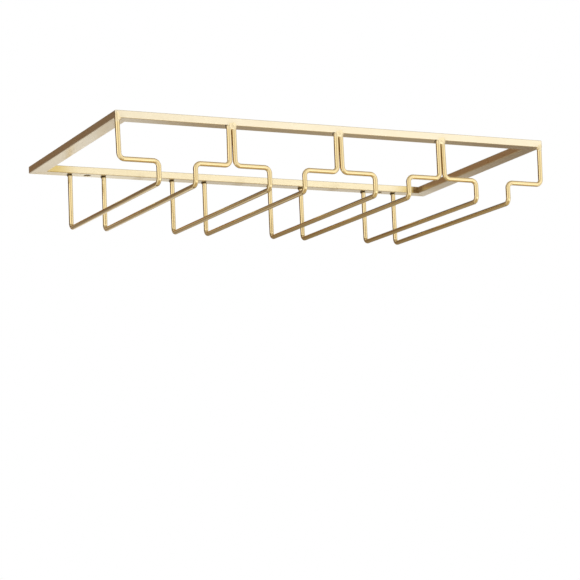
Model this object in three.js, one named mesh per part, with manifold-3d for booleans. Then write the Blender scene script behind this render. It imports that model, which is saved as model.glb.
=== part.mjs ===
// Under-shelf rack for stemware. A flat frame of rectangular tube is screwed up against a
// shelf, and pairs of bent round wires hang from it and form open lanes. A foot slides in
// over the raised step of a lane and settles on the two rails behind it.
// Millimetres, +X to the right, +Y to the back, +Z up. The origin is the middle of the
// frame's top plane, the plane that lies against the shelf.

import * as THREE from 'three';
import { mergeVertices } from 'three/addons/utils/BufferGeometryUtils.js';
import Module from 'manifold-3d';

const wasm = await Module();
wasm.setup();

// Driving dimensions of the frame
const frameWidth = 430;
const frameDepth = 230;
const barWidth = 14;
const barHeight = 6.8;
const barWall = 1.1;
const barEdgeRadius = 0.8;
const boreEdgeRadius = 0.3;
const frameCornerRadius = 1.4;

// Driving dimensions of the lanes and their wires
const laneCount = 4;
const lanePitch = 105.5;
const railSpacing = 34.4;
const wireDiameter = 4.4;
const bendRadius = 5;
const stepDrop = 35.6;
const railDrop = 54.8;
const railRise = 2.6;
const pairLean = 0.3;
const endLean = 0.9;
const frontSetback = 0.1;
const endSetback = 0.1;
const rearSetback = 4;

// Fixings: screws go up through the rear tube, and keyholes in the front tube's top wall
// hang on two screws that are already in the shelf
const screwHeadHole = 7;
const screwShankHole = 4.5;
const keyholeEntry = 8.5;
const keyholeSlot = 4.5;
const keyholeTravel = 9;

// Weld beads, and the clearance between pieces that share a weld
const seamClearance = 0.3;
const frontWeldHalfWidth = 3;
const frontWeldLeg = 3.4;
const frontWeldProud = 0.8;
const frontWeldSeat = 1;
const endWeldShift = 0.6;
const endWeldHalfWidth = 2.6;
const rearWeldLeg = 2.2;
const rearWeldGrowth = 0.9;
const rearWeldShift = 0.8;

// A cutter reaches this far past the faces that it opens
const cutOverrun = 1;

// Facets
const wireSides = 16;
const bendSteps = 6;
const edgeSteps = 3;
const holeSides = 32;
const weldColumns = 20;
const weldRows = 12;

// Sizes worked out from the driving dimensions
const wireRadius = wireDiameter / 2;
const undersideZ = -barHeight;
const frontFaceY = -frameDepth / 2;
const rearFaceY = frameDepth / 2;
const frontWireY = frontFaceY + frontSetback + wireRadius;
const rearWireY = rearFaceY - rearSetback - wireRadius;
const frontBarY = frontFaceY + barWidth / 2;
const rearBarY = rearFaceY - barWidth / 2;
const stepZ = undersideZ - stepDrop;
const railFrontZ = undersideZ - railDrop;
const railRearZ = railFrontZ + railRise;
const stemTopOffset = wireRadius + seamClearance / 2;
const endStemX = frameWidth / 2 - endSetback - wireRadius;

const satinGoldTube = { color: 0xd8b984, roughness: 0.42, metalness: 0.85 };
const satinGoldWire = { color: 0xdcb878, roughness: 0.3, metalness: 0.9 };
const weldGold = { color: 0xcfae74, roughness: 0.5, metalness: 0.85 };

// Turns a closed geometry into a solid that can be joined and cut.
function toSolid(geometry) {
  const bare = geometry.clone();
  bare.deleteAttribute('normal');
  bare.deleteAttribute('uv');
  const merged = mergeVertices(bare);
  const vertProperties = new Float32Array(merged.attributes.position.array);
  const triVerts = new Uint32Array(merged.index.array);
  return new wasm.Manifold(new wasm.Mesh({ numProp: 3, vertProperties, triVerts }));
}

// Turns a solid back into a geometry for a mesh.
function toGeometry(solid) {
  const mesh = solid.getMesh();
  const geometry = new THREE.BufferGeometry();
  geometry.setAttribute('position', new THREE.BufferAttribute(mesh.vertProperties, mesh.numProp));
  geometry.setIndex(new THREE.BufferAttribute(mesh.triVerts, 1));
  geometry.computeVertexNormals();
  return geometry;
}

// Makes one named mesh with a material of its own.
function namedMesh(name, geometry, finish) {
  const mesh = new THREE.Mesh(geometry, new THREE.MeshStandardMaterial(finish));
  mesh.name = name;
  return mesh;
}

// A rectangle with rounded corners, centred on the origin of its plane.
function roundedRectangle(Outline, width, height, radius) {
  const outline = new Outline();
  const x = width / 2 - radius;
  const y = height / 2 - radius;
  outline.absarc(x, y, radius, 0, Math.PI / 2);
  outline.absarc(-x, y, radius, Math.PI / 2, Math.PI);
  outline.absarc(-x, -y, radius, Math.PI, 1.5 * Math.PI);
  outline.absarc(x, -y, radius, 1.5 * Math.PI, 2 * Math.PI);
  outline.closePath();
  return outline;
}

// A cylinder that stands along Z, centred on its own middle.
function uprightCylinder(diameter, height) {
  const cylinder = new THREE.CylinderGeometry(diameter / 2, diameter / 2, height, holeSides);
  cylinder.rotateX(Math.PI / 2);
  return cylinder;
}

// A length of the tube along X with its outer face towards -Y, its top face at z = 0 and
// both ends mitred at 45 degrees, so that the outer face has the full length.
function mitredTube(length) {
  const section = roundedRectangle(THREE.Shape, barWidth, barHeight, barEdgeRadius);
  const boreWidth = barWidth - 2 * barWall;
  const boreHeight = barHeight - 2 * barWall;
  section.holes.push(roundedRectangle(THREE.Path, boreWidth, boreHeight, boreEdgeRadius));
  const options = { depth: length, bevelEnabled: false, steps: 1, curveSegments: edgeSteps };
  const tube = new THREE.ExtrudeGeometry(section, options);
  tube.translate(0, -barHeight / 2, -length / 2);
  tube.rotateX(Math.PI / 2);
  tube.rotateZ(Math.PI / 2);
  // The mitre: a point moves in from its end by its distance from the outer face.
  const place = tube.attributes.position;
  for (let i = 0; i < place.count; i += 1) {
    const inward = place.getY(i) + barWidth / 2;
    place.setX(i, place.getX(i) - Math.sign(place.getX(i)) * inward);
  }
  return tube;
}

// The block that the finished frame is ground to, with its upright corners rounded.
function frameEnvelope() {
  const outline = roundedRectangle(THREE.Shape, frameWidth, frameDepth, frameCornerRadius);
  const depth = barHeight + 2 * cutOverrun;
  const block = new THREE.ExtrudeGeometry(outline, { depth, bevelEnabled: false, curveSegments: edgeSteps });
  block.translate(0, 0, undersideZ - cutOverrun);
  return block;
}

// The space that the frame fills, as one sharp block that weld beads are trimmed against.
function frameBlock() {
  const block = new THREE.BoxGeometry(frameWidth, frameDepth, barHeight);
  block.translate(0, 0, undersideZ / 2);
  return block;
}

// Cuts for one rear screw: a wide hole below lets the head in, and a narrow one above
// passes the shank, so the head bears on the inside of the top wall.
function screwCuts(x) {
  const reach = barWall + 2 * cutOverrun;
  const head = uprightCylinder(screwHeadHole, reach);
  head.translate(x, rearBarY, undersideZ + barWall / 2);
  const shank = uprightCylinder(screwShankHole, reach);
  shank.translate(x, rearBarY, -barWall / 2);
  return [head, shank];
}

// Cuts for one front keyhole in the top wall: a round entry and a slot along the tube.
function keyholeCuts(x) {
  const reach = barWall + 2 * cutOverrun;
  const entry = uprightCylinder(keyholeEntry, reach);
  entry.translate(x, frontBarY, -barWall / 2);
  const slot = new THREE.BoxGeometry(keyholeTravel, keyholeSlot, reach);
  slot.translate(x + keyholeTravel / 2, frontBarY, -barWall / 2);
  const slotEnd = uprightCylinder(keyholeSlot, reach);
  slotEnd.translate(x + keyholeTravel, frontBarY, -barWall / 2);
  return [entry, slot, slotEnd];
}

// One side of the frame: a mitred tube turned and moved to its side, trimmed to the
// frame's rounded corners, with its holes cut.
function frameBar(name, length, turn, distance, cuts) {
  const tube = mitredTube(length);
  tube.translate(0, barWidth / 2 - distance, 0);
  tube.rotateZ(turn);
  let bar = toSolid(tube).intersect(toSolid(frameEnvelope()));
  for (const cut of cuts) {
    bar = bar.subtract(toSolid(cut));
  }
  return namedMesh(name, toGeometry(bar), satinGoldTube);
}

// A wire bent to one radius at every corner of its route. Its stations stand at both ends
// and along the bends, so a straight takes one step however long it is.
class BentWire extends THREE.Curve {
  constructor(corners, radius, endDirection) {
    super();
    this.stations = [{ point: corners[0], tangent: endDirection.clone() }];
    for (let i = 1; i < corners.length - 1; i += 1) {
      this.addBend(corners[i - 1], corners[i], corners[i + 1], radius);
    }
    const last = corners[corners.length - 1];
    this.stations.push({ point: last, tangent: endDirection.clone().negate() });
  }

  addBend(before, corner, after, radius) {
    const arriving = corner.clone().sub(before).normalize();
    const leaving = after.clone().sub(corner).normalize();
    const angle = arriving.angleTo(leaving);
    const axis = arriving.clone().cross(leaving).normalize();
    const setback = radius * Math.tan(angle / 2);
    const start = corner.clone().addScaledVector(arriving, -setback);
    const inward = axis.clone().cross(arriving).normalize();
    const centre = start.clone().addScaledVector(inward, radius);
    for (let step = 0; step <= bendSteps; step += 1) {
      const turned = (angle * step) / bendSteps;
      const arm = start.clone().sub(centre).applyAxisAngle(axis, turned);
      const tangent = arriving.clone().applyAxisAngle(axis, turned);
      this.stations.push({ point: centre.clone().add(arm), tangent });
    }
  }

  station(share) {
    return this.stations[Math.round(share * (this.stations.length - 1))];
  }

  getPoint(share) {
    return this.station(share).point.clone();
  }

  getPointAt(share) {
    return this.getPoint(share);
  }

  getTangentAt(share) {
    return this.station(share).tangent.clone();
  }
}

// The corners of a wire's route, from its weld under the front bar to its weld under the
// rear bar: stem, step, drop, rail and rear upright. side is -1 for the left wire of a
// lane and 1 for the right one.
function wireRoute(lane, side) {
  const laneX = laneCentre(lane);
  const stemX = stemTopX(lane, side);
  const lean = isOutermost(lane, side) ? endLean : pairLean;
  const railX = laneX + (side * railSpacing) / 2;
  return [
    new THREE.Vector3(stemX, frontWireY, undersideZ),
    new THREE.Vector3(stemX - side * lean, frontWireY, stepZ),
    new THREE.Vector3(railX, frontWireY, stepZ),
    new THREE.Vector3(railX, frontWireY, railFrontZ),
    new THREE.Vector3(railX, rearWireY, railRearZ),
    new THREE.Vector3(railX, rearWireY, undersideZ),
  ];
}

function laneCentre(lane) {
  return (lane - (laneCount - 1) / 2) * lanePitch;
}

// The first and the last wire stand alone, and all others stand in pairs.
function isOutermost(lane, side) {
  return side < 0 ? lane === 0 : lane === laneCount - 1;
}

// Two neighbouring stems meet on the line between their lanes. The first and the last stem
// stand at the ends of the frame instead.
function stemTopX(lane, side) {
  if (isOutermost(lane, side)) {
    return side * endStemX;
  }
  return laneCentre(lane) + side * (lanePitch / 2 - stemTopOffset);
}

// A round wire of the given radius along its route, with level ends.
function wireGeometry(route, radius) {
  const outline = [];
  for (let i = 0; i < wireSides; i += 1) {
    const angle = (2 * Math.PI * i) / wireSides;
    outline.push(new THREE.Vector2(radius * Math.cos(angle), radius * Math.sin(angle)));
  }
  const down = new THREE.Vector3(0, 0, -1);
  const path = new BentWire(route, bendRadius, down);
  const steps = path.stations.length - 1;
  return new THREE.ExtrudeGeometry(new THREE.Shape(outline), { steps, extrudePath: path, bevelEnabled: false });
}

// A weld bead: a rounded lump trimmed by the frame and by the wires that it holds.
function weldBead(name, centre, halfSizes, routes) {
  const lump = new THREE.SphereGeometry(1, weldColumns, weldRows);
  lump.scale(halfSizes.x, halfSizes.y, halfSizes.z);
  lump.translate(centre.x, centre.y, centre.z);
  let bead = toSolid(lump).subtract(toSolid(frameBlock()));
  for (const route of routes) {
    bead = bead.subtract(toSolid(wireGeometry(route, wireRadius + seamClearance)));
  }
  return namedMesh(name, toGeometry(bead), weldGold);
}

// The bead in the groove between two neighbouring stems, which climbs the front face.
function pairWeld(lane) {
  const centre = new THREE.Vector3(laneCentre(lane) + lanePitch / 2, frontFaceY + frontWeldSeat, undersideZ);
  const halfSizes = new THREE.Vector3(frontWeldHalfWidth, frontWeldSeat + frontWeldProud, frontWeldLeg);
  const routes = [wireRoute(lane, 1), wireRoute(lane + 1, -1)];
  return weldBead(`front_weld_${lane + 2}`, centre, halfSizes, routes);
}

// The bead on the first or the last stem, at an end of the frame.
function endWeld(name, lane, side) {
  const x = stemTopX(lane, side) - side * endWeldShift;
  const centre = new THREE.Vector3(x, frontFaceY + frontWeldSeat, undersideZ);
  const halfSizes = new THREE.Vector3(endWeldHalfWidth, frontWeldSeat + frontWeldProud, frontWeldLeg);
  return weldBead(name, centre, halfSizes, [wireRoute(lane, side)]);
}

// The fillet behind and beside one rear upright.
function rearWeld(name, lane, side) {
  const route = wireRoute(lane, side);
  const x = laneCentre(lane) + (side * railSpacing) / 2;
  const centre = new THREE.Vector3(x, rearWireY + rearWeldShift, undersideZ);
  const reach = wireRadius + rearWeldGrowth;
  return weldBead(name, centre, new THREE.Vector3(reach, reach, rearWeldLeg), [route]);
}

// The four sides of the frame.
function addFrame(rack) {
  const firstLane = laneCentre(0);
  const lastLane = laneCentre(laneCount - 1);
  const rearCuts = [...screwCuts(firstLane), ...screwCuts(lastLane)];
  const frontCuts = [...keyholeCuts(firstLane), ...keyholeCuts(lastLane)];
  const quarterTurn = Math.PI / 2;
  rack.add(frameBar('front_bar', frameWidth, 0, frameDepth / 2, frontCuts));
  rack.add(frameBar('right_bar', frameDepth, quarterTurn, frameWidth / 2, []));
  rack.add(frameBar('rear_bar', frameWidth, 2 * quarterTurn, frameDepth / 2, rearCuts));
  rack.add(frameBar('left_bar', frameDepth, 3 * quarterTurn, frameWidth / 2, []));
}

// The two wires of every lane.
function addWires(rack) {
  for (let lane = 0; lane < laneCount; lane += 1) {
    for (const [word, side] of [['left', -1], ['right', 1]]) {
      const geometry = wireGeometry(wireRoute(lane, side), wireRadius);
      rack.add(namedMesh(`lane_${lane + 1}_${word}_rail`, geometry, satinGoldWire));
    }
  }
}

// The beads along the front and the rear bar.
function addWelds(rack) {
  rack.add(endWeld('front_weld_1', 0, -1));
  for (let lane = 0; lane < laneCount - 1; lane += 1) {
    rack.add(pairWeld(lane));
  }
  rack.add(endWeld(`front_weld_${laneCount + 1}`, laneCount - 1, 1));
  for (let lane = 0; lane < laneCount; lane += 1) {
    for (const [word, side] of [['left', -1], ['right', 1]]) {
      rack.add(rearWeld(`rear_weld_${lane + 1}_${word}`, lane, side));
    }
  }
}

const group = new THREE.Group();
addFrame(group);
addWires(group);
addWelds(group);

export default group;
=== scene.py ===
"""Finishes a hanging stemware rack: a flat frame of satin gold tube with bent wire lanes below it.

Everything is in metres, in the rack's own frame: +X to the right, +Y to the back, +Z up into the
shelf, with the origin in the middle of the frame's top plane.
"""

import itertools
import logging
import math
from dataclasses import dataclass
from enum import Enum
from typing import Callable, Optional, Sequence, Union

import bpy
import numpy as np
from mathutils import Matrix, Vector


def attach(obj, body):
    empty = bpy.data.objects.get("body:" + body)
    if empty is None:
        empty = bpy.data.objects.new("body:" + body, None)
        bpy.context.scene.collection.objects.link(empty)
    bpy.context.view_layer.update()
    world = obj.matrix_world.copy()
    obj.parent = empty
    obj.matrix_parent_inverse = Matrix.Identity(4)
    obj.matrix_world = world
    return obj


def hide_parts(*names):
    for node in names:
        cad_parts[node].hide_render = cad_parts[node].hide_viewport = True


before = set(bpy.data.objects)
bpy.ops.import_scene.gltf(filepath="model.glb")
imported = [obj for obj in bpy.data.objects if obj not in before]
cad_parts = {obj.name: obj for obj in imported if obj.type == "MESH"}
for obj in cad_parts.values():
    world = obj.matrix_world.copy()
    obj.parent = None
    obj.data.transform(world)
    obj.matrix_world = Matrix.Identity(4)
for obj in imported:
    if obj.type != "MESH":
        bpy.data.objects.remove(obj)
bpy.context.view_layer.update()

log = logging.getLogger("rack")

MM = 0.001
BODY = "root"
QUARTER = math.pi / 2
SMOOTH_BELOW = math.radians(40)
BEAD_SMOOTH_BELOW = math.radians(60)

Array = np.ndarray
Triple = tuple[float, float, float]
Distance = Callable[[Array], Array]

WHITE: Triple = (1.0, 1.0, 1.0)


class Named(Enum):
    """A choice whose name goes into the names of pieces."""

    @property
    def word(self) -> str:
        """The choice's word in the names of pieces."""
        return self.name.lower()


class Side(Named):
    """The left or the right wire of a lane, with its direction along X."""

    LEFT = -1
    RIGHT = 1


class Bar(Named):
    """The frame's bars, by quarter turns from the front."""

    FRONT = 0
    RIGHT = 1
    REAR = 2
    LEFT = 3


class Grain(Enum):
    """The direction of a tube's polishing lines, by the number of its axis."""

    ALONG_X = 0
    ALONG_Y = 1


class Spot(Enum):
    """Where a mark lies, one that welding leaves or one of painted shade."""

    BESIDE_WELD = "on a bar, beside each wire"
    STEM_TOP = "round a wire, below the frame"
    UPRIGHT_TOP = "round a rear upright, below the frame"
    LEFT_OF_PAIR = "under the front bar, on the left of each pair of stems"
    BETWEEN_STEMS = "on the sides that two neighbouring stems turn to each other"
    REAR_ENDS = "on the rear bar's inner face, at both ends"
    REAR_RIGHT_END = "on the rear bar's inner face, at the right end"


@dataclass(frozen=True)
class RackSizes:
    """The rack's driving sizes, shared by its frame, wires and welds."""

    width: float = 430 * MM
    depth: float = 230 * MM
    bar_width: float = 14 * MM
    bar_height: float = 6.8 * MM
    bar_wall: float = 1.1 * MM
    bar_edge: float = 0.8 * MM
    bore_edge: float = 0.3 * MM
    corner: float = 1.4 * MM
    lanes: int = 4
    lane_pitch: float = 105.5 * MM
    rail_spacing: float = 34.4 * MM
    wire_radius: float = 2.2 * MM
    bend_radius: float = 5 * MM
    step_drop: float = 35.6 * MM
    rail_drop: float = 54.8 * MM
    rail_rise: float = 2.6 * MM
    pair_lean: float = 0.3 * MM
    end_lean: float = 0.9 * MM
    stem_gap: float = 0.3 * MM
    front_setback: float = 0.1 * MM
    end_setback: float = 0.1 * MM
    rear_setback: float = 4 * MM

    @property
    def underside(self) -> float:
        """Height of the frame's underside."""
        return -self.bar_height

    @property
    def front_y(self) -> float:
        """Place of the frame's front face."""
        return -self.depth / 2

    @property
    def rear_y(self) -> float:
        """Place of the frame's rear face."""
        return self.depth / 2

    @property
    def front_wire_y(self) -> float:
        """Place of the stems' centre lines."""
        return self.front_y + self.front_setback + self.wire_radius

    @property
    def rear_wire_y(self) -> float:
        """Place of the rear uprights' centre lines."""
        return self.rear_y - self.rear_setback - self.wire_radius

    def lane_x(self, lane: int) -> float:
        """Middle of a lane, counted from 0 at the left."""
        return (lane - (self.lanes - 1) / 2) * self.lane_pitch


@dataclass(frozen=True)
class WirePlan:
    """Where one wire runs. Its lane is counted from 0 at the left."""

    sizes: RackSizes
    lane: int
    side: Side

    @property
    def word(self) -> str:
        """The wire's words in the names of pieces."""
        return f"{self.lane + 1}_{self.side.word}"

    @property
    def outermost(self) -> bool:
        """Whether the wire is the first or the last one, which stand alone."""
        return self.lane == (0 if self.side is Side.LEFT else self.sizes.lanes - 1)

    @property
    def rail_x(self) -> float:
        """Place of the rail's centre line."""
        return self.sizes.lane_x(self.lane) + self.side.value * self.sizes.rail_spacing / 2

    @property
    def stem_x(self) -> float:
        """Place of the stem's centre line where it meets the frame.

        Returns:
            The place along X.
        """
        sizes = self.sizes
        if self.outermost:
            return self.side.value * (sizes.width / 2 - sizes.end_setback - sizes.wire_radius)
        gap = sizes.wire_radius + sizes.stem_gap / 2
        return sizes.lane_x(self.lane) + self.side.value * (sizes.lane_pitch / 2 - gap)

    def corners(self) -> list[Vector]:
        """Corners of the wire's route, from under the front bar to under the rear bar.

        Returns:
            The six corners.
        """
        sizes, stem, rail = self.sizes, self.stem_x, self.rail_x
        front, rear = sizes.front_wire_y, sizes.rear_wire_y
        lean = sizes.end_lean if self.outermost else sizes.pair_lean
        step = sizes.underside - sizes.step_drop
        low = sizes.underside - sizes.rail_drop
        return [
            Vector((stem, front, sizes.underside)),
            Vector((stem - self.side.value * lean, front, step)),
            Vector((rail, front, step)),
            Vector((rail, front, low)),
            Vector((rail, rear, low + sizes.rail_rise)),
            Vector((rail, rear, sizes.underside)),
        ]


class Shade:
    """A shader socket that takes part in Python sums, each of which adds a Math node."""

    def __init__(self, graph: "Graph", socket: Optional[bpy.types.NodeSocket]) -> None:
        """Wraps one output socket.

        Args:
            graph: The graph that the socket belongs to.
            socket: The output, or None for a node without outputs.
        """
        self.graph = graph
        self.socket = socket

    def _math(self, operation: str, *values: "Value") -> "Shade":
        """The result of a Math node with the given inputs."""
        return self.graph.add("ShaderNodeMath", {"operation": operation}, dict(enumerate(values)))

    def __add__(self, other: "Value") -> "Shade":
        """The sum."""
        return self._math("ADD", self, other)

    __radd__ = __add__

    def __sub__(self, other: "Value") -> "Shade":
        """This less the other."""
        return self._math("SUBTRACT", self, other)

    def __rsub__(self, other: "Value") -> "Shade":
        """The other less this."""
        return self._math("SUBTRACT", other, self)

    def __mul__(self, other: "Value") -> "Shade":
        """The product."""
        return self._math("MULTIPLY", self, other)

    __rmul__ = __mul__

    def __abs__(self) -> "Shade":
        """The size without its sign."""
        return self._math("ABSOLUTE", self)

    def wrapped(self, half: float) -> "Shade":
        """The value repeated between minus and plus half."""
        return self._math("WRAP", self, half, -half)

    def larger(self, other: "Value") -> "Shade":
        """The larger of two values."""
        return self._math("MAXIMUM", self, other)

    def fade(self, full: float, gone: float) -> "Shade":
        """A smooth mask that is 1 at the first value and 0 at the second one."""
        inputs = {"Value": self, "From Min": full, "From Max": gone, "To Min": 1.0, "To Max": 0.0}
        return self.graph.add("ShaderNodeMapRange", {"interpolation_type": "SMOOTHSTEP"}, inputs)


Value = Union[Shade, float, Sequence[float]]


class Graph:
    """The node tree of one material or world."""

    mix_first, mix_second, mix_result = 6, 7, 2

    def __init__(self, owner: Union[bpy.types.Material, bpy.types.World]) -> None:
        """Empties the owner's tree and takes it over.

        Args:
            owner: The material or world.
        """
        owner.use_nodes = True
        self.tree = owner.node_tree
        self.tree.nodes.clear()

    def add(
        self,
        kind: str,
        settings: Optional[dict[str, object]] = None,
        inputs: Optional[dict[Union[str, int], Value]] = None,
        output: Union[str, int] = 0,
    ) -> Shade:
        """Adds one node.

        Args:
            kind: The node's type.
            settings: Its settings, which are made first.
            inputs: Values or links of its sockets, by name or number. Colours have no alpha.
            output: The output to wrap, by name or number.

        Returns:
            The wrapped output.
        """
        node = self.tree.nodes.new(kind)
        for name, value in (settings or {}).items():
            setattr(node, name, value)
        for key, value in (inputs or {}).items():
            socket = node.inputs[key]
            if isinstance(value, Shade):
                self.tree.links.new(value.socket, socket)
            else:
                socket.default_value = (*value, 1.0) if socket.type == "RGBA" else value
        return Shade(self, node.outputs[output] if node.outputs else None)

    def blend(self, share: Value, first: Value, second: Value) -> Shade:
        """Two colours, mixed by the second one's share."""
        inputs = {"Factor": share, self.mix_first: first, self.mix_second: second}
        return self.add("ShaderNodeMix", {"data_type": "RGBA"}, inputs, self.mix_result)

    def stretch(self, vector: Shade, scale: Sequence[float]) -> Shade:
        """A vector scaled by a different amount along each axis."""
        return self.add("ShaderNodeVectorMath", {"operation": "MULTIPLY"}, {0: vector, 1: scale})

    def axis(self, vector: Shade, name: str) -> Shade:
        """One coordinate of a vector."""
        return self.add("ShaderNodeSeparateXYZ", {}, {0: vector}, name)

    def noise(self, vector: Shade, scale: float, detail: float = 2.0) -> Shade:
        """Soft noise between 0 and 1, with scale in blobs per unit of the vector."""
        inputs = {"Vector": vector, "Scale": scale, "Detail": detail}
        return self.add("ShaderNodeTexNoise", {}, inputs, "Fac")


@dataclass(frozen=True)
class Mark:
    """What welding leaves at a spot, or shade painted there: full over the core share of its reach, and
    gone past it.
    """

    spot: Spot
    reach: float
    core_share: float
    strength: float = 1.0
    colour: Optional[Triple] = None
    roughness: float = 0.0
    pit_depth: float = 0.0


class WeldMap:
    """Masks of the marks, from the place of each point of the surface."""

    past_pair_shares = (0.2, 0.3)
    lip_shares = (0.1, 0.8)
    face_shares = (0.2, 1.0)
    shade_shift_share = 0.7
    shade_slant = 0.47
    shade_depth_shares = (5, 9)

    def __init__(self, graph: Graph, place: Shade, sizes: RackSizes) -> None:
        """Splits the place into its coordinates.

        Args:
            graph: The material's graph.
            place: Place in metres.
            sizes: The rack's sizes.
        """
        self.sizes = sizes
        self.x, self.y, self.z = (graph.axis(place, name) for name in "XYZ")

    def mask(self, mark: Mark) -> Shade:
        """Where a mark lies.

        Args:
            mark: The mark.

        Returns:
            A mask between 0 and the mark's strength.
        """
        sizes, x, y, z = self.sizes, self.x, self.y, self.z
        inner_end = sizes.width / 2 - sizes.bar_width
        within: Value = 1.0
        match mark.spot:
            case Spot.BESIDE_WELD:
                away = self._from_pair(x)
                within = (z - sizes.underside).fade(0.0, sizes.bar_height)
            case Spot.STEM_TOP:
                away = sizes.underside - z
            case Spot.UPRIGHT_TOP:
                away = sizes.underside - z
                within = y.fade(sizes.rear_wire_y - 2 * sizes.wire_radius, 0.0)
            case Spot.LEFT_OF_PAIR:
                # Painted shade and reflection of the left stem, slanting back under the front bar.
                behind = y - sizes.front_y
                stem_side = 2 * sizes.wire_radius + sizes.stem_gap / 2
                shade_offset = stem_side + self.shade_shift_share * mark.reach - self.shade_slant * behind
                away = self._from_pair(x + shade_offset)
                lip = (z - sizes.underside).fade(*(share * sizes.bar_edge for share in self.lip_shares))
                depth = behind.fade(*(share * mark.reach for share in self.shade_depth_shares))
                within = self._among_pairs() * lip * depth
            case Spot.BETWEEN_STEMS:
                away = self._from_pair(x)
                within = self._among_pairs()
            case Spot.REAR_ENDS:
                away = inner_end - abs(x)
                within = self._rear_inner_face()
            case Spot.REAR_RIGHT_END:
                away = inner_end - x
                within = self._rear_inner_face()
        return mark.strength * away.fade(mark.core_share * mark.reach, mark.reach) * within

    def _from_pair(self, x: Shade) -> Shade:
        """Distance along X from the nearest line between two lanes."""
        return abs(x.wrapped(self.sizes.lane_pitch / 2))

    def _among_pairs(self) -> Shade:
        """Mask of the stretch that has pairs of stems, without the frame's ends."""
        last, pitch = (self.sizes.lanes / 2 - 1) * self.sizes.lane_pitch, self.sizes.lane_pitch
        return abs(self.x).fade(*(last + share * pitch for share in self.past_pair_shares))

    def _rear_inner_face(self) -> Shade:
        """Mask of the rear bar's face that looks to the front."""
        face = self.sizes.rear_y - self.sizes.bar_width
        return self.y.fade(*(face + share * self.sizes.bar_edge for share in self.face_shares))


@dataclass(frozen=True)
class SatinGold:
    """Steel under a satin gold coating, with fine polishing lines where the stock has them."""

    name: str
    colour: Triple
    deep_colour: Triple
    roughness: float
    roughness_spread: float
    coat: float
    coat_roughness: float
    grain: Optional[Grain] = None
    marks: tuple[Mark, ...] = ()
    blotch_share: float = 0.55
    scuff_share: float = 0.3
    noise_middle: float = 0.5
    grain_depth: float = 0.0016 * MM
    peel_depth: float = 0.0022 * MM
    blotch_per_mm: float = 0.035
    scuff_per_mm: float = 0.3
    fine_per_mm: float = 0.69
    pits_per_mm: float = 0.9
    peel_per_mm: float = 0.9
    lines_per_mm: tuple[float, float] = (0.035, 5.0)

    def build(self, sizes: RackSizes) -> bpy.types.Material:
        """Makes the material.

        Args:
            sizes: The rack's sizes, for the marks that sit near its welds.

        Returns:
            The material.
        """
        material = bpy.data.materials.new(self.name)
        graph = Graph(material)
        place = graph.add("ShaderNodeTexCoord", output="Object")
        in_mm = graph.stretch(place, [1 / MM] * 3)
        blotch = graph.noise(in_mm, self.blotch_per_mm)
        scuff = graph.noise(in_mm, self.scuff_per_mm, detail=3.0)
        peel = graph.noise(in_mm, self.peel_per_mm)
        lines = self._lines(graph, in_mm)

        deeper = self.blotch_share * blotch + self.scuff_share * scuff
        tone = graph.blend(deeper, self.colour, self.deep_colour)
        rough = self.roughness + self.roughness_spread * (blotch + scuff + lines - 3 * self.noise_middle)
        relief = self.peel_depth * peel + self.grain_depth * lines
        welds = WeldMap(graph, place, sizes)
        for mark in self.marks:
            mask = welds.mask(mark)
            if mark.colour:
                tone = graph.blend(mask, tone, mark.colour)
            if mark.roughness:
                rough = rough + mark.roughness * mask
            if mark.pit_depth:
                relief = relief + mask * (mark.pit_depth * graph.noise(in_mm, self.pits_per_mm))
        bump = graph.add("ShaderNodeBump", {}, {"Height": relief, "Distance": 1.0, "Strength": 1.0})
        inputs = {
            "Base Color": tone,
            "Metallic": 1.0,
            "Roughness": rough,
            "Coat Weight": self.coat,
            "Coat Roughness": self.coat_roughness,
            "Normal": bump,
        }
        shader = graph.add("ShaderNodeBsdfPrincipled", {}, inputs)
        graph.add("ShaderNodeOutputMaterial", {}, {"Surface": shader})
        return material

    def _lines(self, graph: Graph, in_mm: Shade) -> Shade:
        """Polishing lines along the stock.

        Args:
            graph: The material's graph.
            in_mm: Place in millimetres.

        Returns:
            The lines' strength, 0 to 1, or an even noise for stock without them.
        """
        if self.grain is None:
            return graph.noise(in_mm, self.fine_per_mm, detail=1.0)
        along, across = self.lines_per_mm
        scale = [across] * 3
        scale[self.grain.value] = along
        return graph.noise(graph.stretch(in_mm, scale), 1.0)


# Near-black colour of the painted shade in the crevices under the frame.
PAINTED_SHADE_COLOUR = (0.075, 0.045, 0.012)
WELD_COLOUR = (0.84, 0.715, 0.465)
TUBE_COLOURS = ((0.83, 0.74, 0.55), (0.79, 0.685, 0.475))
# The rear bar is the same tube; its colours are painted a little deeper as shade.
REAR_SHADED_COLOURS = ((0.83, 0.725, 0.495), (0.79, 0.67, 0.42))
WIRE_COLOURS = ((0.83, 0.675, 0.37), (0.77, 0.59, 0.295))
BEAD_COLOURS = (WELD_COLOUR, (0.79, 0.64, 0.37))

SPATTER = Mark(Spot.BESIDE_WELD, 7 * MM, 0.3, roughness=0.12, pit_depth=0.03 * MM)
HEAT_RING = Mark(Spot.STEM_TOP, 5 * MM, 0.3, 0.9, WELD_COLOUR, roughness=0.08)
# Painted shade: near black at the top of each rear upright and on the front of its bead, just under the
# frame.
UPRIGHT_TOP_SHADE = Mark(Spot.UPRIGHT_TOP, 1.8 * MM, 0.45, 0.95, PAINTED_SHADE_COLOUR)
# Painted shade and reflection: a near-black streak under the front bar beside each pair's left stem,
# slanting back.
PAIR_SIDE_SHADE = Mark(Spot.LEFT_OF_PAIR, 1.5 * MM, 0.6, 0.95, PAINTED_SHADE_COLOUR)
# Painted shade: darkens the sides that neighbouring stems turn to each other, so the gap between them
# reads dark.
STEM_GAP_SHADE = Mark(Spot.BETWEEN_STEMS, 1.0 * MM, 0.3, 0.6, (0.30, 0.19, 0.08))
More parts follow.
